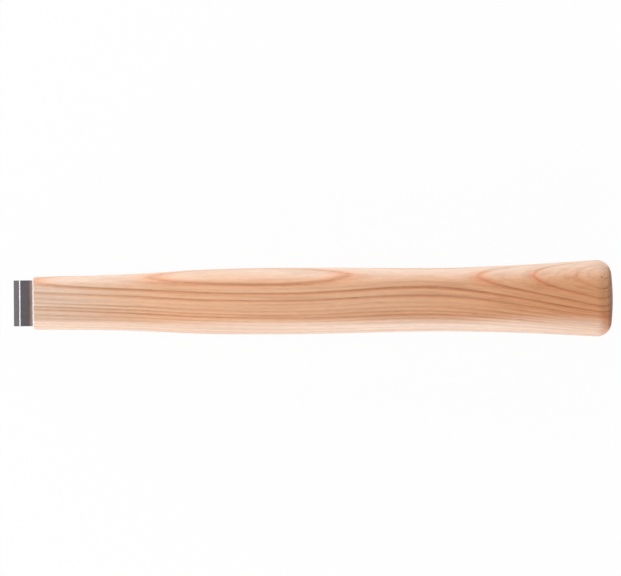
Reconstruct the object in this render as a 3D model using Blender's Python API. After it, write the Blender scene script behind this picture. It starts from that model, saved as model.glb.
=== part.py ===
# A wooden hammer handle with the steel wedge started in its sawn end.
# Metres, +Z up. The handle lies along X, with its head end towards -X and its broad sides facing up and down.

import bpy
import bmesh
from itertools import accumulate
from math import cos, pi, radians, sin

# Lengths of the handle's stretches, from the head end to the butt
TONGUE_LENGTH = 0.0430
SHOULDER_LENGTH = 0.0320
SWELL_LENGTH = 0.0420
WAIST_LENGTH = 0.0610
FLARE_LENGTH = 0.0400
BUTT_LENGTH = 0.0344

# Rounding of the butt, past its widest place
BUTT_ROUND_LENGTH = 0.0070
BUTT_ROUND_INSET = 0.0067
BUTT_CROWN = 0.0006

# Width of the oval along Y, at the head end and where each stretch ends
HEAD_WIDTH = 0.0239
TONGUE_WIDTH = 0.0254
SHOULDER_WIDTH = 0.0287
SWELL_WIDTH = 0.0299
WAIST_WIDTH = 0.0285
FLARE_WIDTH = 0.0305
BUTT_WIDTH = 0.0343

# Thickness of the oval along Z: the tongue's cheeks are parallel
TONGUE_THICKNESS = 0.0170
SHOULDER_THICKNESS = 0.0197
SWELL_THICKNESS = 0.0223
WAIST_THICKNESS = 0.0182
FLARE_THICKNESS = 0.0226
BUTT_THICKNESS = 0.0278

# Width of the flat that runs down each broad side
TONGUE_FLAT = 0.0125
SHOULDER_FLAT = 0.0108
SWELL_FLAT = 0.0094
WAIST_FLAT = 0.0083
FLARE_FLAT = 0.0071
BUTT_FLAT = 0.0060

# Small bevel round the sawn head end
HEAD_ARRIS = 0.0003

# Steel wedge: its thickness is taken over the first barb, and it stands out of the head end, part driven
WEDGE_LENGTH = 0.0270
WEDGE_WIDTH = 0.0206
WEDGE_THICKNESS = 0.0033
WEDGE_TIP_THICKNESS = 0.0012
WEDGE_STANDOUT = 0.0090
WEDGE_CHAMFER = 0.0002

# Barbs across both broad faces of the wedge, with steep sides towards its head
BARB_COUNT = 4
FIRST_BARB = 0.0029
BARB_PITCH = 0.0059
BARB_STEP = 0.0004

# Kerf that a circular saw leaves in the head end: it takes the whole wedge, with room beyond the driven tip
# and a running clearance beside the thickest barb
SAW_RADIUS = 0.1000
KERF_TIP_ROOM = 0.0030
KERF_CLEARANCE = 0.00005

# Fineness of the meshes
RING_SPACING = 0.0050
CORNER_STEPS = 9
ROUND_STEPS = 7
CROWN_STEPS = 4
SAW_FACETS = 256
SMOOTH_ANGLE = radians(35)

# Sizes that follow from the ones above
STRETCHES = (TONGUE_LENGTH, SHOULDER_LENGTH, SWELL_LENGTH, WAIST_LENGTH, FLARE_LENGTH, BUTT_LENGTH)
STATIONS = (0.0, *accumulate(STRETCHES))
WIDTHS = (HEAD_WIDTH, TONGUE_WIDTH, SHOULDER_WIDTH, SWELL_WIDTH, WAIST_WIDTH, FLARE_WIDTH, BUTT_WIDTH)
THICKNESSES = (TONGUE_THICKNESS, TONGUE_THICKNESS, SHOULDER_THICKNESS, SWELL_THICKNESS,
               WAIST_THICKNESS, FLARE_THICKNESS, BUTT_THICKNESS)
FLATS = (TONGUE_FLAT, TONGUE_FLAT, SHOULDER_FLAT, SWELL_FLAT, WAIST_FLAT, FLARE_FLAT, BUTT_FLAT)
HANDLE_LENGTH = STATIONS[-1] + BUTT_ROUND_LENGTH + BUTT_CROWN
HEAD_END_X = (WEDGE_STANDOUT - HANDLE_LENGTH) / 2
KERF_DEPTH = WEDGE_LENGTH + KERF_TIP_ROOM
KERF_WIDTH = WEDGE_THICKNESS + 2 * KERF_CLEARANCE


def curve_through(sizes):
    # Smooth curve of a size along the handle, level at each crest and hollow
    slopes = []
    for place in range(len(STATIONS) - 1):
        slopes.append((sizes[place + 1] - sizes[place]) / STRETCHES[place])
    tangents = [slopes[0]]
    for place in range(1, len(slopes)):
        before, after = slopes[place - 1], slopes[place]
        back, ahead = STRETCHES[place - 1], STRETCHES[place]
        level = before * after <= 0
        tangents.append(0.0 if level else (before * ahead + after * back) / (back + ahead))
    tangents.append(slopes[-1])

    def size_at(place, part):
        length = STRETCHES[place]
        rest = 1 - part
        near = sizes[place] * (1 + 2 * part) * rest ** 2 + tangents[place] * length * part * rest ** 2
        far = sizes[place + 1] * (1 + 2 * rest) * part ** 2 - tangents[place + 1] * length * rest * part ** 2
        return near + far

    return size_at


def oval_ring(bm, x, width, thickness, flat):
    # Closed ring of two flats joined by half-elliptical edges, anticlockwise seen from the butt
    ring = []
    for side, start in ((1, -1), (-1, 1)):
        for step in range(2 * CORNER_STEPS + 1):
            angle = (start + step / CORNER_STEPS) * pi / 2
            y = side * flat / 2 + (width - flat) / 2 * cos(angle)
            ring.append(bm.verts.new((x, y, thickness / 2 * sin(angle))))
    return ring


def skin_between(bm, ring, next_ring):
    for here in range(len(ring)):
        ahead = (here + 1) % len(ring)
        bm.faces.new((ring[here], ring[ahead], next_ring[ahead], next_ring[here]))


def rounded_butt(size, flare_size, angle):
    # A width or thickness of the rounded butt, which carries on along the slope of the flare
    slope = (size - flare_size) / BUTT_LENGTH
    run_out = slope * BUTT_ROUND_LENGTH * sin(angle) * (1 - sin(angle))
    return size + run_out - 2 * BUTT_ROUND_INSET * (1 - cos(angle))


def handle_sections():
    # Place, width, thickness and flat of each oval from the head end to the butt
    width_at = curve_through(WIDTHS)
    thickness_at = curve_through(THICKNESSES)
    flat_at = curve_through(FLATS)
    bevel = 2 * HEAD_ARRIS
    sections = [(0.0, HEAD_WIDTH - bevel, TONGUE_THICKNESS - bevel, TONGUE_FLAT - bevel)]
    for place, length in enumerate(STRETCHES):
        steps = max(2, round(length / RING_SPACING))
        for step in range(steps):
            part = step / steps
            x = max(STATIONS[place] + part * length, HEAD_ARRIS)
            sections.append((x, width_at(place, part), thickness_at(place, part), flat_at(place, part)))
    for step in range(ROUND_STEPS + 1):
        angle = step / ROUND_STEPS * pi / 2
        x = STATIONS[-1] + BUTT_ROUND_LENGTH * sin(angle)
        width = rounded_butt(BUTT_WIDTH, FLARE_WIDTH, angle)
        thickness = rounded_butt(BUTT_THICKNESS, FLARE_THICKNESS, angle)
        sections.append((x, width, thickness, BUTT_FLAT))
    end_x, end_width, end_thickness, end_flat = sections[-1]
    for step in range(1, CROWN_STEPS):
        share = 1 - step / CROWN_STEPS
        x = end_x + BUTT_CROWN * (1 - share ** 2)
        sections.append((x, end_width * share, end_thickness * share, end_flat * share))
    return sections


def handle_mesh(sections):
    bm = bmesh.new()
    rings = [oval_ring(bm, *section) for section in sections]
    for ring, next_ring in zip(rings, rings[1:]):
        skin_between(bm, ring, next_ring)
    bm.faces.new(reversed(rings[0]))
    crown = bm.verts.new((HANDLE_LENGTH, 0.0, 0.0))
    last = rings[-1]
    for here in range(len(last)):
        bm.faces.new((last[here], last[(here + 1) % len(last)], crown))
    return finished_mesh(bm, "handle")


def crest_thickness(from_head):
    # Thickness across the tips of the barbs, which taper evenly from the first barb to the wedge's tip
    taper = (WEDGE_THICKNESS - WEDGE_TIP_THICKNESS) / (WEDGE_LENGTH - FIRST_BARB)
    return WEDGE_THICKNESS - taper * (from_head - FIRST_BARB)


def saw_mesh():
    bm = bmesh.new()
    bmesh.ops.create_cone(bm, cap_ends=True, segments=SAW_FACETS, radius1=SAW_RADIUS, radius2=SAW_RADIUS,
                          depth=KERF_WIDTH)
    return finished_mesh(bm, "saw_blade")


def wedge_side_outline():
    # Upper edge of the wedge seen from its narrow side: a parallel head land, then a saw-tooth taper
    upper = [(0.0, WEDGE_THICKNESS / 2 - BARB_STEP)]
    for barb in range(BARB_COUNT):
        from_head = FIRST_BARB + barb * BARB_PITCH
        crest = crest_thickness(from_head) / 2
        upper.append((from_head - BARB_STEP, crest - BARB_STEP))
        upper.append((from_head, crest))
    upper.append((WEDGE_LENGTH, WEDGE_TIP_THICKNESS / 2))
    lower = [(x, -z) for x, z in reversed(upper)]
    return upper + lower


def wedge_mesh():
    bm = bmesh.new()
    corners = [bm.verts.new((x, -WEDGE_WIDTH / 2, z)) for x, z in wedge_side_outline()]
    side = bm.faces.new(corners)
    extruded = bmesh.ops.extrude_face_region(bm, geom=[side])
    far_corners = [item for item in extruded["geom"] if isinstance(item, bmesh.types.BMVert)]
    bmesh.ops.translate(bm, verts=far_corners, vec=(0.0, WEDGE_WIDTH, 0.0))
    head_edges = [edge for edge in bm.edges if all(vert.co.x == 0.0 for vert in edge.verts)]
    bmesh.ops.bevel(bm, geom=head_edges, offset=WEDGE_CHAMFER, segments=1, affect="EDGES")
    bmesh.ops.recalc_face_normals(bm, faces=bm.faces)
    return finished_mesh(bm, "steel_wedge")


def finished_mesh(bm, name):
    mesh = bpy.data.meshes.new(name)
    bm.to_mesh(mesh)
    bm.free()
    return mesh


def make_material(name, colour, roughness, metallic):
    material = bpy.data.materials.new(name)
    material.use_nodes = True
    shader = material.node_tree.nodes["Principled BSDF"]
    shader.inputs["Base Color"].default_value = (*colour, 1.0)
    shader.inputs["Roughness"].default_value = roughness
    shader.inputs["Metallic"].default_value = metallic
    return material


def place_object(name, mesh, parent, location):
    placed = bpy.data.objects.new(name, mesh)
    bpy.context.scene.collection.objects.link(placed)
    placed.parent = parent
    placed.location = location
    return placed


def clear_scene():
    for old in list(bpy.data.objects):
        bpy.data.objects.remove(old, do_unlink=True)


def make_handle(axis, sections):
    handle = place_object("handle", handle_mesh(sections), axis, (0.0, 0.0, 0.0))
    handle.data.materials.append(make_material("ash_wood", (0.66, 0.41, 0.26), 0.5, 0.0))
    handle.data.shade_smooth()
    handle.data.set_sharp_from_angle(angle=SMOOTH_ANGLE)
    saw = place_object("saw_blade", saw_mesh(), axis, (KERF_DEPTH - SAW_RADIUS, 0.0, 0.0))
    saw.hide_render = True
    saw.display_type = "WIRE"
    kerf = handle.modifiers.new("kerf", "BOOLEAN")
    kerf.operation = "DIFFERENCE"
    kerf.solver = "EXACT"
    kerf.object = saw


def make_wedge(axis):
    wedge = place_object("steel_wedge", wedge_mesh(), axis, (-WEDGE_STANDOUT, 0.0, 0.0))
    wedge.data.materials.append(make_material("dark_steel", (0.15, 0.135, 0.15), 0.4, 1.0))


def main():
    clear_scene()
    sections = handle_sections()
    axis_height = max(thickness for _, _, thickness, _ in sections) / 2
    axis = place_object("handle_axis", None, None, (HEAD_END_X, 0.0, axis_height))
    make_handle(axis, sections)
    make_wedge(axis)


main()
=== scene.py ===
# An ash hammer handle with its steel wedge, seen from straight above on a white table.
# Lengths are in metres, except in the materials, which work in millimetres.

from itertools import accumulate
from math import pi, radians
from types import SimpleNamespace

import bpy
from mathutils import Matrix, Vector


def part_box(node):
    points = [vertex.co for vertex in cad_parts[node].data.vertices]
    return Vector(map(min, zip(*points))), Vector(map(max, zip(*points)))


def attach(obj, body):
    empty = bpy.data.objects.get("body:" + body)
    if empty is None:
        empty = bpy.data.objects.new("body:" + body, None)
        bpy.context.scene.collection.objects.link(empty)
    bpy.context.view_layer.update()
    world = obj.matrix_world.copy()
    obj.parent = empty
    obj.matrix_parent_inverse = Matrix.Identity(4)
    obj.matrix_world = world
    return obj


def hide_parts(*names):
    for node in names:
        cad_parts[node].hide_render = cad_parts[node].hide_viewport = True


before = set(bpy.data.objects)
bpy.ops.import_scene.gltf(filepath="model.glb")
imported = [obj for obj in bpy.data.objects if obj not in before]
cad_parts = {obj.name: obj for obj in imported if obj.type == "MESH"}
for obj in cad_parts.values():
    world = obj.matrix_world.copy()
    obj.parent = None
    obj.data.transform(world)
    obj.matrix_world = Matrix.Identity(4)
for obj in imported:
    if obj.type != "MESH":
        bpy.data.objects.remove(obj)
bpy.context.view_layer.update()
handleLow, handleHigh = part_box("handle")
wedgeLow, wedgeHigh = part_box("steel_wedge")
headEnd = handleLow.x
axisHeight = (handleLow.z + handleHigh.z) / 2
millimetres = 1000.0                     # in a metre
mergeWithin = 0.000001                   # mesh points closer than this become one
cornerAngle = radians(30)                # edges that turn further than this stay sharp
print("frame loaded")


class Wire:
    # One socket of a node tree, with arithmetic
    def __init__(self, tree, socket=None):
        self.tree = tree
        self.socket = socket

    def make(self, kind, settings=None, sockets=None, out=0):
        node = self.tree.nodes.new(kind)
        for name, value in (settings or {}).items():
            setattr(node, name, value)
        for name, value in (sockets or {}).items():
            if isinstance(value, Wire):
                self.tree.links.new(value.socket, node.inputs[name])
            else:
                node.inputs[name].default_value = value
        return Wire(self.tree, node.outputs[out])

    def out(self, name):
        return Wire(self.tree, self.socket.node.outputs[name])

    def maths(self, operation, *values):
        return self.make("ShaderNodeMath", {"operation": operation}, dict(enumerate(values)))

    def __add__(self, other):
        return self.maths("ADD", self, other)

    def __radd__(self, other):
        return self.maths("ADD", other, self)

    def __sub__(self, other):
        return self.maths("SUBTRACT", self, other)

    def __rsub__(self, other):
        return self.maths("SUBTRACT", other, self)

    def __mul__(self, other):
        return self.maths("MULTIPLY", self, other)

    def __rmul__(self, other):
        return self.maths("MULTIPLY", other, self)

    def __truediv__(self, other):
        return self.maths("DIVIDE", self, other)

    def __gt__(self, other):
        return self.maths("GREATER_THAN", self, other)

    def larger(self, other):
        return self.maths("MAXIMUM", self, other)

    def modulo(self, other):
        return self.maths("FLOORED_MODULO", self, other)

    def floor(self):
        return self.maths("FLOOR", self)

    def root(self):
        return self.maths("SQRT", self)

    def size(self):
        return self.maths("ABSOLUTE", self)

    def cosine(self):
        return self.maths("COSINE", self)

    def sine(self):
        return self.maths("SINE", self)

    def clip(self):
        return self.make("ShaderNodeClamp", None, {"Value": self})

    def ramp(self, base, extra):
        # Straight change: the base, plus this socket times the extra
        return self * extra + base

    def fade(self, start, end, low=0.0, high=1.0):
        # Smooth change from low to high between two values
        return self.make("ShaderNodeMapRange", {"interpolation_type": "SMOOTHSTEP"}, {
            "Value": self, "From Min": start, "From Max": end, "To Min": low, "To Max": high})

    def parts(self):
        # The X of a vector, whose Y and Z come from out
        return self.make("ShaderNodeSeparateXYZ", None, {0: self})

    def vector(self, x, y, z):
        return self.make("ShaderNodeCombineXYZ", None, {0: x, 1: y, 2: z})

    def scaled(self, factor):
        # A vector or a colour, times a number
        return self.make("ShaderNodeVectorMath", {"operation": "SCALE"}, {0: self, "Scale": factor})

    def noise(self, along, across, detail, shift):
        # Noise from -0.5 to 0.5, drawn out along the handle, from a position in millimetres
        drawn = self.make("ShaderNodeVectorMath", {"operation": "MULTIPLY_ADD"}, {
            0: self, 1: (along, across, across), 2: (shift, shift, shift)})
        return self.make("ShaderNodeTexNoise", None, {"Vector": drawn, "Scale": 1.0, "Detail": detail}) - 0.5

    def blend(self, first, second, kind="MIX"):
        # Mix of two colours, with this socket as the factor
        return self.make("ShaderNodeMix", {"data_type": "RGBA", "blend_type": kind}, {
            0: self, 6: first, 7: second}, 2)

    def relief(self, strength, distance):
        # Normal of a surface that has this socket as its height
        return self.make("ShaderNodeBump", None, {"Strength": strength, "Distance": distance, "Height": self})


def power(value, terms):
    # Polynomial without a constant term
    total = terms[-1]
    for term in reversed(terms[:-1]):
        total = value * total + term
    return value * total


def newShape(name, sizes):
    tree = bpy.data.node_groups.new(name, "GeometryNodeTree")
    tree.interface.new_socket("Shape", in_out="OUTPUT", socket_type="NodeSocketGeometry")
    for size in sizes:
        tree.interface.new_socket(size, in_out="INPUT", socket_type="NodeSocketFloat")
    entry = tree.nodes.new("NodeGroupInput")
    given = {size: Wire(tree, entry.outputs[size]) for size in sizes}
    return Wire(tree), given


def closeShape(shape, material):
    # Smooth faces with sharp edges at corners, then instances made real and the material set
    angle = shape.make("GeometryNodeInputMeshEdgeAngle")
    smooth = shape.make("GeometryNodeSetShadeSmooth", {"domain": "FACE"}, {0: shape})
    crisp = smooth.make("GeometryNodeSetShadeSmooth", {"domain": "EDGE"}, {
        0: smooth, 1: angle > cornerAngle, 2: False})
    real = crisp.make("GeometryNodeRealizeInstances", None, {0: crisp})
    painted = real.make("GeometryNodeSetMaterial", None, {0: real, "Material": material})
    shape.tree.links.new(painted.socket, shape.tree.nodes.new("NodeGroupOutput").inputs[0])


def growPiece(name, tree, sizes):
    piece = bpy.data.objects.new(name, bpy.data.meshes.new(name))
    bpy.context.scene.collection.objects.link(piece)
    modifier = piece.modifiers.new("shape", "NODES")
    modifier.node_group = tree
    for item in tree.interface.items_tree:
        if item.in_out == "INPUT":
            modifier[item.identifier] = float(sizes[item.name])
    graph = bpy.context.evaluated_depsgraph_get()
    mesh = bpy.data.meshes.new_from_object(piece.evaluated_get(graph))
    piece.modifiers.clear()
    piece.data = mesh
    return piece


def newMaterial(name):
    material = bpy.data.materials.new(name)
    material.use_nodes = True
    return material, Wire(material.node_tree)


def setShader(material, values):
    shader = material.node_tree.nodes["Principled BSDF"]
    for name, value in values.items():
        if isinstance(value, Wire):
            material.node_tree.links.new(value.socket, shader.inputs[name])
        else:
            shader.inputs[name].default_value = value


# The ash: how its growth rings lie, in millimetres from the middle of the handle's axis, and its looks.
# The pith, the bend, the twist and the years from 31.82 to 60.29 were fitted to traced grain lines.
ash = {
    "reach": 130.0,                      # half the handle's length, over which the drifts below are given
    "pithAcross": (40.10, -28.63),       # place of the pith, and its drift towards the butt
    "pithUp": (36.15, -15.94),
    "bend": (34.66, 1.08, -11.29, -7.62, 2.78, 2.87),    # terms of the rings' bend along the handle
    "twist": (0.114, -0.192, -0.236),                    # and of their turn across it
    "years": (                           # radius where each year starts, and how dark its first wood is
        (22.0, 0.5), (26.6, 0.5), (31.82, 0.35), (36.57, 0.9), (40.72, 0.9), (43.96, 1.0), (46.80, 0.75),
        (49.27, 0.25), (51.03, 0.45), (52.65, 0.6), (53.95, 0.85), (55.79, 0.5), (57.70, 0.4), (60.29, 0.3),
        (62.4, 0.5), (64.6, 0.7), (66.9, 0.45), (69.0, 0.8), (71.3, 0.5), (73.6, 0.6), (76.0, 0.5)),
    "lead": 0.35,                        # how softly a year's dark line comes in
    "bandStart": 0.05,                   # where it starts to fade again
    "bandWidth": (0.30, 0.85),           # its width where the rings lie flat, and what it gains cut across
    "lineDepth": (0.55, 0.35),           # its depth in the same way
    "ruddyWidth": (0.9, 1.7),            # width of the ruddy wood after it in the same way
    "flameWidth": 0.75,                  # width of the ruddy wood before it, where the rings lie flat
    "poreDepth": (0.15, 0.6),            # depth of the pores in clean wood, and what it gains in a dark line
    "poreRelief": (0.2, 0.8),
    "fibreRelief": 0.4,
    "relief": (0.2, 0.0002),             # strength and height of the relief
    "brightness": {"plain": 1.03, "fibres": 0.25, "flecks": 0.24},
    "roughness": {"plain": 0.55, "fibres": 0.2, "pores": 0.1, "endGrain": 0.2},
    "oil": 0.10,                         # thin coat, which the end grain soaks up
    "noises": {                          # waves in a millimetre along and across, detail and shift
        "wander": (0.02, 0.10, 1.0, 0.0),
        "ragged": (0.12, 2.0, 2.0, 7.0),
        "sideEdge": (0.02, 0.15, 2.0, 31.0),
        "pores": (0.20, 5.0, 2.0, 3.0),
        "fibres": (0.03, 2.6, 3.0, 11.0),
        "layers": (0.010, 0.90, 2.5, 23.0),
        "flecks": (0.22, 1.3, 3.0, 47.0),
        "clouds": (0.012, 0.08, 2.0, 19.0),
        "specks": (1.2, 1.2, 2.0, 41.0),
    },
    "fades": {                           # where a change starts and ends, and its two values unless 0 and 1
        "oblique": (0.02, 0.40),         # from rings flat under the surface to rings cut across
        "side": (0.30, 0.95),            # from the broad sides to the narrow ones, which get a painted sheen
        "pores": (0.06, 0.20),
        "streaks": (-0.08, 0.22),
        "butt": (0.60, 0.98),            # from the grip to the end of the butt, darkened partly as end grain and partly as painted shade where its round turns from the light
        "sawn": (0.5, 0.9),              # from the grip to the sawn head end
        "blush": (0.05, 0.60),           # ruddy corner of the butt, round it and across it
        "blushAcross": (-2.0, -9.0),
        "specks": (0.10, 0.22),          # specks of the butt, and where they start on its round
        "speckTurn": (0.05, 0.30),
        "warm": (-1.08, -0.45),          # along the handle, from pale to warm wood and from warm to deep: partly the wood's own tone, partly painted light
        "deep": (0.05, 0.95),
        "deepAcross": (3.0, 13.0, 1.0, 0.65),
        "waistStart": (-0.5, 0.3),       # along the narrow sides, into the waist and out of it, for the painted sheen there
        "waistEnd": (0.6, 0.95, 1.0, 0.0),
        "mark": (0.2, 2.0, 0.65, 0.0),
    },
    "amounts": {
        "wander": 0.3,                   # millimetres that the rings stray, slowly and raggedly
        "ragged": 0.22,
        "roundRing": 0.25,               # scale of the grain round a ring
        "lowerSide": 0.3,                # how much further the painted sheen reaches in on the lower narrow side
        "sideEdge": 0.25,                # how ragged the edges of the painted sheen on the narrow sides are
        "lead": 0.8,                     # depth of a dark line where it comes in
        "sideLines": 0.3,                # what the painted sheen on the narrow sides takes from lines, streaks and ruddy wood
        "sideStreaks": 0.4,
        "sideRuddy": 0.8,
        "obliqueRuddy": 0.55,            # what rings cut across take from the ruddy wood
        "streakFibres": 0.5,             # how far fibres break up the streaks, the end grain and the blush
        "buttFibres": 0.2,
        "blushFibres": 0.6,
        "warmClouds": 0.2,               # how far clouds break up the changes along the handle
        "deepClouds": 0.3,
        "sides": 0.85,
        "streaks": 0.55,
        "specks": 0.5,
    },
    "marks": (                           # dark specks: from the head end, across, half length, half width
        (254.8, 9.5, 0.50, 0.45), (256.8, 8.9, 0.9, 0.25), (256.4, 4.4, 1.2, 0.25)),
    "pale": (0.83, 0.620, 0.485, 1.0),   # clean wood at the head end, along the middle and at the butt; partly its own tone, partly painted light: a painted highlight paling the head end, painted shade deepening the butt
    "warm": (0.86, 0.492, 0.294, 1.0),
    "deep": (0.71, 0.330, 0.154, 1.0),
    "sides": (0.85, 0.625, 0.490, 1.0),  # painted sheen: paler wood along the narrow sides, and there beside the waist
    "paintedSheenWaistSides": (0.90, 0.70, 0.580, 1.0),
    "ruddy": (1.00, 0.73, 0.58, 1.0),    # tints that the clean wood is multiplied by
    "brown": (0.70, 0.61, 0.53, 1.0),
    "line": (0.67, 0.54, 0.43, 1.0),
    "pore": (0.60, 0.48, 0.40, 1.0),
    # end grain at the butt: partly its own darker colour, partly painted shade on the round that turns from
    # the light
    "endGrain": (0.38, 0.33, 0.31, 1.0),
    "mark": (0.45, 0.32, 0.26, 1.0),
    "sheenTint": (1.0, 0.86, 0.76, 1.0),
}


def yearAt(radius, years):
    # How far a point is into its year and from the next, and how dark the first wood of each is
    starts = [start for start, dark in years]
    darks = [dark for start, dark in years]
    begun, ends, dark, nextDark = starts[0], starts[1], darks[0], darks[1]
    for year in range(1, len(years) - 1):
        past = radius > starts[year]
        begun = past * (starts[year] - starts[year - 1]) + begun
        ends = past * (starts[year + 1] - starts[year]) + ends
        dark = past * (darks[year] - darks[year - 1]) + dark
        nextDark = past * (darks[year + 1] - darks[year]) + nextDark
    return radius - begun, ends - radius, dark, nextDark


def ashPlace(start, look):
    # Where a point of the handle is, in millimetres, and which way its surface faces
    here = start.make("ShaderNodeTexCoord", None, None, "Object")
    spot = here.scaled(millimetres)
    x = spot.parts()
    along = (x - (headEnd * millimetres + look["reach"])) / look["reach"]
    up = x.out("Z") - axisHeight * millimetres
    facing = here.out("Normal").parts()
    return SimpleNamespace(spot=spot, x=x, along=along, across=x.out("Y"), up=up, facing=facing)


def ashRings(at, look):
    # The rings at a point: its years, how the surface cuts them, and a position that follows them
    noises, amounts = look["noises"], look["amounts"]
    toPithAcross = at.along.ramp(*look["pithAcross"]) - at.across
    toPithUp = at.along.ramp(*look["pithUp"]) - at.up
    distance = (toPithAcross * toPithAcross + toPithUp * toPithUp).root()
    clean = distance + power(at.along, look["bend"]) + at.across * power(at.along, look["twist"])
    wander = at.spot.noise(*noises["wander"]) * amounts["wander"]
    ragged = at.spot.noise(*noises["ragged"]) * amounts["ragged"]
    radius = clean + wander + ragged
    lean = (at.facing.out("Y") * toPithAcross + at.facing.out("Z") * toPithUp) / distance
    oblique = (1.0 - lean * lean).fade(*look["fades"]["oblique"])
    followed = at.x.vector(at.x, radius, (at.across - at.up) * amounts["roundRing"])
    into, left, dark, nextDark = yearAt(radius, look["years"])
    return SimpleNamespace(
        followed=followed, oblique=oblique, into=into, left=left, dark=dark, nextDark=nextDark)


def ashGrain(at, rings, look):
    # What shows at a point, from 0 to 1, and the fibres, which are noise
    noises, fades, amounts = look["noises"], look["fades"], look["amounts"]
    oblique = rings.oblique
    fibres = rings.followed.noise(*noises["fibres"])
    layers = rings.followed.noise(*noises["layers"])
    pores = rings.followed.noise(*noises["pores"]).fade(*fades["pores"])

    # Mask of the painted sheen: high where the surface turns towards the narrow sides
    lower = (at.facing.out("Y") * -amounts["lowerSide"]).larger(0.0)
    sideEdge = at.spot.noise(*noises["sideEdge"]) * amounts["sideEdge"]
    side = (at.facing.out("Y").size() + lower + sideEdge).fade(*fades["side"])

    band = rings.into.fade(look["bandStart"], oblique.ramp(*look["bandWidth"]), 1.0, 0.0) * rings.dark
    lead = rings.left.fade(0.0, look["lead"], 1.0, 0.0) * rings.nextDark
    line = band.larger(lead * amounts["lead"]) * oblique.ramp(*look["lineDepth"])
    streaks = (fibres * amounts["streakFibres"] + layers).fade(*fades["streaks"])

    ruddy = rings.into.fade(0.0, oblique.ramp(*look["ruddyWidth"]), 1.0, 0.0) * rings.dark
    ruddy = ruddy * (1.0 - oblique * amounts["obliqueRuddy"])
    ruddy = ruddy * (1.0 - side * oblique * amounts["sideRuddy"])
    flame = rings.left.fade(0.0, look["flameWidth"], 1.0, 0.0) * rings.nextDark * (1.0 - oblique) + ruddy
    blush = (at.facing + fibres * amounts["blushFibres"]).fade(*fades["blush"])
    blush = blush * at.across.fade(*fades["blushAcross"])

    specks = at.spot.noise(*noises["specks"]).fade(*fades["specks"])
    return SimpleNamespace(
        fibres=fibres,
        pores=pores,
        side=side,
        band=band,
        # the painted sheen on the narrow sides washes out lines and streaks
        line=line * (1.0 - side * amounts["sideLines"]),
        streaks=streaks * (1.0 - side * amounts["sideStreaks"]),
        ruddy=flame.larger(blush),
        specks=specks * at.facing.fade(*fades["speckTurn"]),
        butt=(at.facing + fibres * amounts["buttFibres"]).fade(*fades["butt"]),
        sawn=(at.facing * -1.0).fade(*fades["sawn"]))


def ashMark(at, mark, look):
    place, offset, halfLength, halfWidth = mark
    lengthwise = (at.x - (headEnd * millimetres + place)) / halfLength
    crosswise = (at.across - offset) / halfWidth
    nearness = (lengthwise * lengthwise + crosswise * crosswise).fade(*look["fades"]["mark"])
    return nearness * (at.up > 0.0)      # on the upper side alone


def ashColour(at, grain, look):
    noises, fades, amounts = look["noises"], look["fades"], look["amounts"]
    brightness = look["brightness"]
    clouds = at.spot.noise(*noises["clouds"])
    flecks = at.spot.noise(*noises["flecks"])
    # Drift along the handle: partly the wood's own tone, partly painted light, a painted highlight at the
    # head end and painted shade towards the butt
    warm = (at.along + clouds * amounts["warmClouds"]).fade(*fades["warm"])
    deep = (at.along + clouds * amounts["deepClouds"]).fade(*fades["deep"])
    deep = deep * at.across.fade(*fades["deepAcross"])
    waist = at.along.fade(*fades["waistStart"]) * at.along.fade(*fades["waistEnd"])
    colour = deep.blend(warm.blend(look["pale"], look["warm"]), look["deep"])
    # Painted sheen: the narrow sides turn paler
    colour = (grain.side * amounts["sides"]).blend(colour, waist.blend(look["sides"], look["paintedSheenWaistSides"]))

    tints = [
        ("ruddy", grain.ruddy),
        ("brown", grain.streaks * amounts["streaks"] + grain.specks * amounts["specks"]),
        ("line", grain.line),
        ("pore", grain.pores * grain.band.ramp(*look["poreDepth"])),
        # the butt's round darkens: darker end grain and painted shade
        ("endGrain", grain.butt)]
    tints += [("mark", ashMark(at, mark, look)) for mark in look["marks"]]
    for tint, share in tints:
        colour = share.blend(colour, look[tint], "MULTIPLY")
    lighter = grain.fibres * brightness["fibres"] + flecks * brightness["flecks"] + brightness["plain"]
    return colour.scaled(lighter)


def ashMaterial(look):
    material, start = newMaterial("ashWood")
    at = ashPlace(start, look)
    grain = ashGrain(at, ashRings(at, look), look)
    endGrain = grain.butt + grain.sawn
    height = grain.fibres * look["fibreRelief"] - grain.pores * grain.band.ramp(*look["poreRelief"])
    rough = look["roughness"]
    roughness = grain.fibres * rough["fibres"] + grain.pores * rough["pores"] + rough["plain"]
    setShader(material, {
        "Base Color": ashColour(at, grain, look),
        "Roughness": roughness + endGrain * rough["endGrain"],
        "Normal": height.relief(*look["relief"]),
        "IOR": 1.5,
        "Coat Weight": look["oil"] - endGrain * look["oil"],
        "Coat Roughness": 0.5,
        "Sheen Weight": 0.25,
        "Sheen Roughness": 0.5,
        "Sheen Tint": look["sheenTint"],
    })
    return material


# The handle: for each stretch its length, then its width, thickness and flat where it ends
handle = {
    "stretches": {
        "tongue": (0.0430, 0.0254, 0.0170, 0.0125),
        "shoulder": (0.0320, 0.0287, 0.0197, 0.0108),
        "swell": (0.0420, 0.0299, 0.0223, 0.0094),
        "waist": (0.0610, 0.0285, 0.0182, 0.0083),
        "flare": (0.0400, 0.0305, 0.0226, 0.0071),
        "butt": (0.0344, 0.0343, 0.0278, 0.0060),
    },
    "headWidth": 0.0239,
    "arris": 0.0003,                     # bevel round the head end
    "roundLength": 0.0070,               # round of the butt, along the handle and inwards
    "roundInset": 0.0067,
    "crown": 0.0006,                     # how far the end of the butt bulges
    "kerfDepth": 0.0300,
    "kerfWidth": 0.0034,
    "sawRadius": 0.1000,
    "sawFacets": 256,
    "unevenness": 0.00006,
    "waves": 60.0,                       # how fine the unevenness is
    "rings": {"cap": 6, "body": 330, "round": 20, "crown": 8},    # mesh rings from the head end to the butt
    "steps": {"edge": 36, "flat": 12},   # mesh steps round a half-oval and along a flat
}


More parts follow.
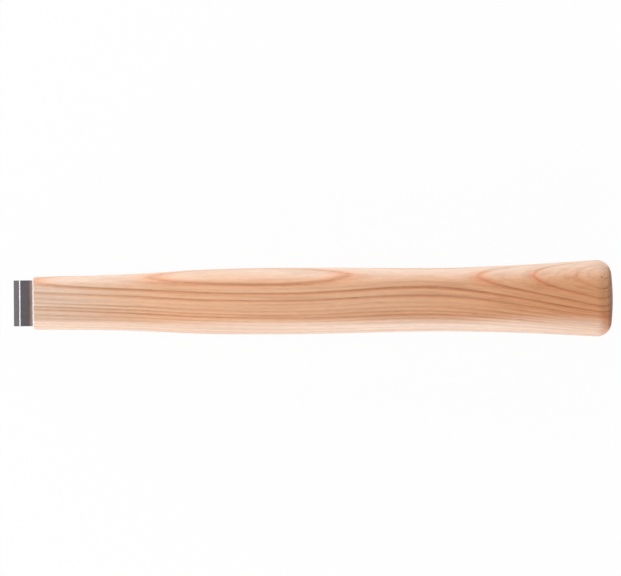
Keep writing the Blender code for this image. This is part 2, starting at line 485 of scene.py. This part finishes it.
def sizeAlong(x, starts, lengths, values):
    # Smooth curve through a size at each station, level at each crest and hollow
    slopes = [(after - before) / length for before, after, length in zip(values, values[1:], lengths)]
    tangents = [slopes[0]]
    for before, after, back, ahead in zip(slopes, slopes[1:], lengths, lengths[1:]):
        rising = before * after > 0.0
        tangents.append(rising * (before * ahead + after * back) / (back + ahead))
    tangents.append(slopes[-1])
    total = values[0]
    for place, length in enumerate(lengths):
        part = ((x - starts[place]) / length).clip()
        rest = 1.0 - part
        near = values[place] * ((part * 2.0 + 1.0) * rest * rest - 1.0)
        far = values[place + 1] * (rest * 2.0 + 1.0) * part * part
        leaving = tangents[place] * length * part * rest * rest
        arriving = tangents[place + 1] * length * rest * part * part
        total = total + (near + leaving) + (far - arriving)
    return total


def handleSizes(plan):
    sizes = {
        "head width": plan["headWidth"],
        "arris": plan["arris"],
        "round length": plan["roundLength"],
        "round inset": plan["roundInset"],
        "crown": plan["crown"],
        "kerf depth": plan["kerfDepth"],
        "kerf width": plan["kerfWidth"],
        "saw radius": plan["sawRadius"],
        "unevenness": plan["unevenness"],
        "head end": headEnd,
        "axis height": axisHeight,
    }
    for name, stretch in plan["stretches"].items():
        for size, value in zip(("length", "width", "thickness", "flat"), stretch):
            sizes[f"{name} {size}"] = value
    return sizes


def handleSkin(start, plan, given):
    # A grid wrapped into a closed oval skin: its X runs from the head end to the butt, its Y round the oval
    names = list(plan["stretches"])
    lengths = [given[f"{name} length"] for name in names]
    starts = list(accumulate(lengths[:-1], initial=0.0))
    widths = [given["head width"]] + [given[f"{name} width"] for name in names]
    thicknesses = [given[f"{name} thickness"] for name in names[:1] + names]
    flats = [given[f"{name} flat"] for name in names[:1] + names]
    buttStart = starts[-1] + lengths[-1]

    cap, body, turnRings, crownRings = plan["rings"].values()
    edge, flatSteps = plan["steps"].values()
    rings = cap + 1 + body + turnRings + crownRings
    steps = 2 * (edge + flatSteps)
    grid = start.make("GeometryNodeMeshGrid", None, {
        "Size X": 1.0, "Size Y": 1.0, "Vertices X": rings + 1, "Vertices Y": steps + 1})
    parts = start.make("GeometryNodeInputPosition").parts()
    ring = (parts + 0.5) * float(rings)
    step = (parts.out("Y") + 0.5) * float(steps)

    capShare = (ring / float(cap)).clip()
    bevel = (ring - float(cap)).clip()
    bodyShare = ((ring - float(cap + 1)) / float(body)).clip()
    turn = ((ring - float(cap + 1 + body)) / float(turnRings)).clip() * (pi / 2)
    crownShare = 1.0 - ((ring - float(cap + 1 + body + turnRings)) / float(crownRings)).clip()
    onBody = given["arris"] * bevel + (buttStart - given["arris"]) * bodyShare
    x = onBody + given["round length"] * turn.sine() + given["crown"] * (1.0 - crownShare * crownShare)

    share = capShare * crownShare
    runOut = given["round length"] * turn.sine() * (1.0 - turn.sine()) / lengths[-1]
    inset = given["round inset"] * 2.0 * (1.0 - turn.cosine()) + given["arris"] * 2.0 * (1.0 - bevel)
    width = sizeAlong(onBody, starts, lengths, widths) + (widths[-1] - widths[-2]) * runOut
    width = (width - inset) * share
    thickness = sizeAlong(onBody, starts, lengths, thicknesses)
    thickness = (thickness + (thicknesses[-1] - thicknesses[-2]) * runOut - inset) * share
    flat = sizeAlong(onBody, starts, lengths, flats) * share

    firstEdge = (step / float(edge)).clip()
    firstFlat = ((step - float(edge)) / float(flatSteps)).clip()
    lastEdge = ((step - float(edge + flatSteps)) / float(edge)).clip()
    lastFlat = ((step - float(2 * edge + flatSteps)) / float(flatSteps)).clip()
    angle = (firstEdge + lastEdge - 0.5) * pi
    y = flat * (0.5 - firstFlat + lastFlat) + (width - flat) * 0.5 * angle.cosine()
    z = thickness * 0.5 * angle.sine()
    skin = start.make("GeometryNodeSetPosition", None, {0: grid, "Position": start.vector(x, y, z)})
    closed = start.make("GeometryNodeMergeByDistance", None, {0: skin, "Distance": mergeWithin})
    return start.make("GeometryNodeFlipFaces", None, {0: closed})


def sandedSkin(start, skin, plan, given):
    # The slight unevenness that sanding leaves
    place = start.make("GeometryNodeInputPosition")
    waves = start.make("ShaderNodeTexNoise", None, {"Vector": place, "Scale": plan["waves"], "Detail": 1.0})
    shift = start.make("GeometryNodeInputNormal").scaled((waves - 0.5) * given["unevenness"])
    return start.make("GeometryNodeSetPosition", None, {0: skin, "Offset": shift})


def sawnKerf(start, wood, plan, given):
    # The slot for the wedge, with the round bottom that a saw blade leaves
    saw = start.make("GeometryNodeMeshCylinder", None, {
        "Vertices": plan["sawFacets"], "Radius": given["saw radius"], "Depth": given["kerf width"]})
    reach = start.vector(given["kerf depth"] - given["saw radius"], 0.0, 0.0)
    blade = start.make("GeometryNodeTransform", None, {"Geometry": saw, "Translation": reach})
    cut = {"operation": "DIFFERENCE", "solver": "EXACT"}
    return start.make("GeometryNodeMeshBoolean", cut, {0: wood, 1: blade})


def handleTree(plan, sizes, material):
    start, given = newShape("handleShape", sizes)
    wood = sandedSkin(start, handleSkin(start, plan, given), plan, given)
    sawn = sawnKerf(start, wood, plan, given)
    seat = start.vector(given["head end"], 0.0, given["axis height"])
    closeShape(start.make("GeometryNodeTransform", None, {"Geometry": sawn, "Translation": seat}), material)
    return start.tree


sizes = handleSizes(handle)
handlePiece = growPiece("ashHandle", handleTree(handle, sizes, ashMaterial(ash)), sizes)
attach(handlePiece, "handle")
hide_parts("handle")
print("handle made:", len(handlePiece.data.polygons), "faces")


# The wedge: a flat steel plate that tapers to its tip, with barbs across both broad faces
wedge = {
    "thickness": 0.0033,                 # over the first barb
    "tip": 0.0012,
    "firstBarb": 0.0029,
    "pitch": 0.0059,
    "step": 0.0004,
    "barbs": 4,
    "softness": 0.00006,                 # rounding of its edges, where they turn by more than the angle
    "softAngle": radians(25),
    "softSteps": 2,
    "scale": (0.125, 0.112, 0.124, 1.0),
    "bare": (0.55, 0.54, 0.54, 1.0),     # the cut sides of the barbs
    "bareEdge": 0.04,                    # millimetres over which the bare steel ends
    "broadFaces": (0.3, 0.5),            # turn of the surface where the broad faces start
    "landPaintedHighlight": 0.42,                   # painted highlight: how much brighter in colour the face before the first barb is
    "landEdge": 0.1,
    "paintedWoodReflection": (0.50, 0.415, 0.375, 1.0),   # painted warm reflection of the wood's end face on the steel next to it
    "paintedWoodReflectionFrom": (6.6, 8.4),              # millimetres from its head
    "paintedWoodReflectionEdge": 0.8,
    "paintedWoodReflectionDepth": 0.6,
    "mottle": (0.5, 0.5, 4.0, 5.0),      # noises, as in the ash
    "scratches": (3.0, 0.15, 2.0, 9.0),
    "brightness": {"mottle": 0.35, "scratches": 0.15},
    "roughness": {"plain": 0.38, "mottle": 0.2, "bare": 0.1},
    "relief": (0.15, 0.0002),
}


def wedgeMaterial(look):
    material, start = newMaterial("darkSteel")
    here = start.make("ShaderNodeTexCoord", None, None, "Object")
    spot = here.scaled(millimetres)
    fromHead = spot.parts() - wedgeLow.x * millimetres
    barbStep = look["step"] * millimetres
    firstStep = look["firstBarb"] * millimetres - barbStep
    pastStep = (fromHead - firstStep).modulo(look["pitch"] * millimetres)
    broad = here.out("Normal").parts().out("Z").size().fade(*look["broadFaces"])
    bare = pastStep.fade(barbStep, barbStep + look["bareEdge"], 1.0, 0.0) * (fromHead > firstStep) * broad

    mottle = spot.noise(*look["mottle"])
    scratches = spot.noise(*look["scratches"])
    # Painted highlight: the face before the first barb is lighter in colour
    landHighlight = fromHead.fade(firstStep - look["landEdge"], firstStep, look["landPaintedHighlight"], 0.0)
    # Painted reflection: the steel warms near the wood, where it is also made less metallic so that real
    # bounce from the wood adds to it
    paintedWoodReflection = (fromHead + mottle * look["paintedWoodReflectionEdge"]).fade(*look["paintedWoodReflectionFrom"]) * look["paintedWoodReflectionDepth"]
    bright, rough = look["brightness"], look["roughness"]
    lighter = mottle * bright["mottle"] + scratches * bright["scratches"] + 1.0 + landHighlight
    steel = paintedWoodReflection.blend(look["scale"], look["paintedWoodReflection"]).scaled(lighter)
    height = (mottle + scratches) * 0.5 * (1.0 - bare)
    setShader(material, {
        "Base Color": bare.blend(steel, look["bare"]),
        "Metallic": 1.0 - paintedWoodReflection,
        "Roughness": rough["plain"] + mottle * rough["mottle"] - bare * rough["bare"],
        "Normal": height.relief(*look["relief"]),
    })
    return material


def wedgeOutline(start, plan, given):
    # The wedge from its narrow side: out along one face from the head to the tip, and back along the other
    side = 2 * plan["barbs"] + 2
    line = start.make("GeometryNodeMeshLine", None, {"Count": 2 * side})
    index = start.make("GeometryNodeInputIndex")
    below = index > side - 0.5
    corner = below * (2.0 * side - 1.0 - index * 2.0) + index
    barb = ((corner - 1.0) * 0.5).floor()
    root = 1.0 - (corner - 1.0 - barb * 2.0)     # 1 in the notch before a barb, 0 on its crest
    atHead = 0.5 - corner > 0.0
    atTip = corner > side - 1.5
    inner = (1.0 - atHead) * (1.0 - atTip)
    fromHead = given["first barb"] + given["pitch"] * barb
    taper = (given["thickness"] - given["tip"]) / (given["length"] - given["first barb"])
    half = (given["thickness"] - taper * (fromHead - given["first barb"])) * 0.5 - given["step"] * root
    x = inner * (fromHead - given["step"] * root) + atTip * given["length"]
    z = inner * half + atHead * (given["thickness"] * 0.5 - given["step"]) + atTip * given["tip"] * 0.5
    spot = start.vector(x, z * (1.0 - below * 2.0), 0.0)
    placed = start.make("GeometryNodeSetPosition", None, {0: line, "Position": spot})
    outline = start.make("GeometryNodeMeshToCurve", None, {0: placed})
    return start.make("GeometryNodeSetSplineCyclic", None, {0: outline, "Cyclic": True})


def wedgeTree(plan, sizes, material):
    start, given = newShape("wedgeShape", sizes)
    outline = wedgeOutline(start, plan, given)
    face = start.make("GeometryNodeFillCurve", {"mode": "NGONS"}, {0: outline})
    raised = start.make("GeometryNodeExtrudeMesh", {"mode": "FACES"}, {
        "Mesh": face,
        "Offset": start.vector(0.0, 0.0, 1.0),
        "Offset Scale": given["width"],
        "Individual": False,
    })
    under = start.make("GeometryNodeFlipFaces", None, {0: face})
    both = start.make("GeometryNodeJoinGeometry", None, {0: raised})
    start.tree.links.new(under.socket, both.socket.node.inputs[0])
    solid = start.make("GeometryNodeMergeByDistance", None, {0: both, "Distance": mergeWithin})
    seat = start.vector(given["head"], given["width"] * 0.5, given["axis height"])
    closeShape(start.make("GeometryNodeTransform", None, {
        "Geometry": solid, "Translation": seat, "Rotation": (pi / 2, 0.0, 0.0)}), material)
    return start.tree


def wedgeSizes(plan):
    return {
        "length": wedgeHigh.x - wedgeLow.x,
        "width": wedgeHigh.y - wedgeLow.y,
        "thickness": plan["thickness"],
        "tip": plan["tip"],
        "first barb": plan["firstBarb"],
        "pitch": plan["pitch"],
        "step": plan["step"],
        "head": wedgeLow.x,
        "axis height": (wedgeLow.z + wedgeHigh.z) / 2,
    }


def softenEdges(piece, plan):
    bevel = piece.modifiers.new("softness", "BEVEL")
    bevel.width = plan["softness"]
    bevel.segments = plan["softSteps"]
    bevel.limit_method = "ANGLE"
    bevel.angle_limit = plan["softAngle"]
    bevel.harden_normals = True


sizes = wedgeSizes(wedge)
wedgePiece = growPiece("steelWedge", wedgeTree(wedge, sizes, wedgeMaterial(wedge)), sizes)
softenEdges(wedgePiece, wedge)
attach(wedgePiece, "wedge")
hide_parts("steel_wedge")
print("wedge made:", len(wedgePiece.data.polygons), "faces")


# The stage: a white table under the handle, which rests on its swell and its butt
stage = {
    "tableSize": 8.0,
    "tableGap": 0.00006,                 # clear of the unevenness of the handle
    "table": (0.93, 0.93, 0.93, 1.0),
    "white": (1.0, 1.0, 1.0, 1.0),
    "glow": 0.96,                        # share of the table that the camera sees as plain white
    "sky": 0.36,
    "lights": {                          # place, width, height and watts
        "upperSide": ((0.0, 0.75, 0.24), 1.4, 0.40, 4.5),
        "lowerSide": ((0.0, -0.75, 0.24), 1.4, 0.40, 4.5),
        "leftSide": ((-0.75, 0.0, 0.35), 0.6, 0.60, 4.0),
    },
    "lens": 500.0,
    "sensor": 36.0,
    "field": 0.27892,                    # width of the picture where the handle's outline lies
    "sight": 50.0,                       # how far the camera sees
    "aim": (-0.001217, 0.00574),         # the middle of the picture
    "roll": radians(-0.515),
}


def seenAsBackground(start):
    # 1 for the rays that show the background, to the camera or in what is bright or clear
    path = start.make("ShaderNodeLightPath")
    return path + path.out("Is Glossy Ray") + path.out("Is Transmission Ray")


def tableMaterial(look):
    material, start = newMaterial("whiteTable")
    setShader(material, {"Base Color": look["table"], "Roughness": 1.0, "Specular IOR Level": 0.0})
    plain = Wire(start.tree, start.tree.nodes["Principled BSDF"].outputs[0])
    glow = start.make("ShaderNodeEmission", None, {"Color": look["white"], "Strength": 1.0})
    share = seenAsBackground(start) * look["glow"]
    mixed = start.make("ShaderNodeMixShader", None, {0: share, 1: plain, 2: glow})
    start.tree.links.new(mixed.socket, start.tree.nodes["Material Output"].inputs["Surface"])
    return material


def makeTable(look):
    stretches = handle["stretches"]
    ends = dict(zip(stretches, accumulate(stretch[0] for stretch in stretches.values())))
    swellX = headEnd + ends["swell"]
    buttX = headEnd + ends["butt"]
    swellLow = axisHeight - stretches["swell"][2] / 2
    slope = swellLow / (buttX - swellX)
    half = look["tableSize"] / 2
    plan = ((-half, -half), (half, -half), (half, half), (-half, half))
    corners = [(x, y, (buttX - x) * slope - look["tableGap"]) for x, y in plan]
    mesh = bpy.data.meshes.new("table")
    mesh.from_pydata(corners, [], [(0, 1, 2, 3)])
    mesh.materials.append(tableMaterial(look))
    table = bpy.data.objects.new("table", mesh)
    bpy.context.scene.collection.objects.link(table)


def makeLight(name, place, width, height, watts):
    light = bpy.data.lights.new(name, "AREA")
    light.shape = "RECTANGLE"
    light.size = width
    light.size_y = height
    light.energy = watts
    lamp = bpy.data.objects.new(name, light)
    lamp.location = place
    towardsHandle = Vector((0.0, 0.0, axisHeight)) - Vector(place)
    lamp.rotation_euler = towardsHandle.to_track_quat("-Z", "Y").to_euler()
    lamp.visible_camera = False
    bpy.context.scene.collection.objects.link(lamp)


def makeSky(look):
    world = bpy.data.worlds.new("sky")
    world.use_nodes = True
    bpy.context.scene.world = world
    start = Wire(world.node_tree)
    strength = seenAsBackground(start) * (1.0 - look["sky"]) + look["sky"]
    start.tree.links.new(strength.socket, start.tree.nodes["Background"].inputs["Strength"])
    start.tree.nodes["Background"].inputs["Color"].default_value = look["white"]


def makeCamera(look):
    camera = bpy.data.cameras.new("camera")
    camera.lens = look["lens"]
    camera.sensor_width = look["sensor"]
    camera.clip_end = look["sight"]
    view = bpy.data.objects.new("camera", camera)
    view.location = (*look["aim"], axisHeight + look["lens"] / look["sensor"] * look["field"])
    view.rotation_euler = (0.0, 0.0, look["roll"])
    bpy.context.scene.collection.objects.link(view)
    bpy.context.scene.camera = view


makeTable(stage)
for name, settings in stage["lights"].items():
    makeLight(name, *settings)
makeSky(stage)
makeCamera(stage)
bpy.context.scene.view_settings.view_transform = "Standard"
print("stage made")
